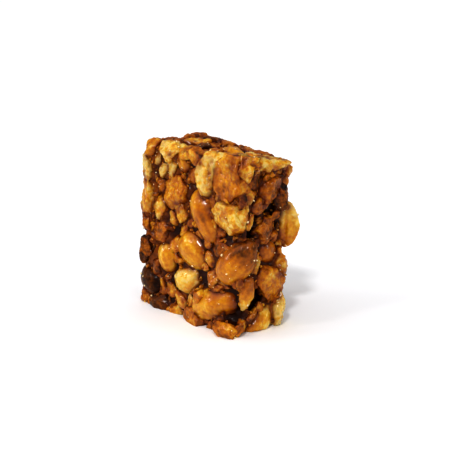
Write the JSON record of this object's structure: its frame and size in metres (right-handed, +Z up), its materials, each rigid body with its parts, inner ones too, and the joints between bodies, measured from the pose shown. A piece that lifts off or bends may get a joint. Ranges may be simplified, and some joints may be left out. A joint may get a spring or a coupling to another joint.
{
  "type": "peanut brittle block",
  "caption": "Small upright block of roasted peanuts, whole, split and broken, set in glossy caramel; a snack piece that stands on its flat cut base.",
  "frame": {"origin": "on the flat base, under the middle of the block's box", "axes": "+Z up, the block's tallest side; +X to the right along its wide front; +Y towards its back"},
  "size_m": [0.0436, 0.0238, 0.0463],
  "materials": {
    "caramel_nuts": "glossy amber caramel over roasted peanuts"
  },
  "bodies": {
    "root": {"nut_cluster": "caramel_nuts"}
  },
  "joints": []
}
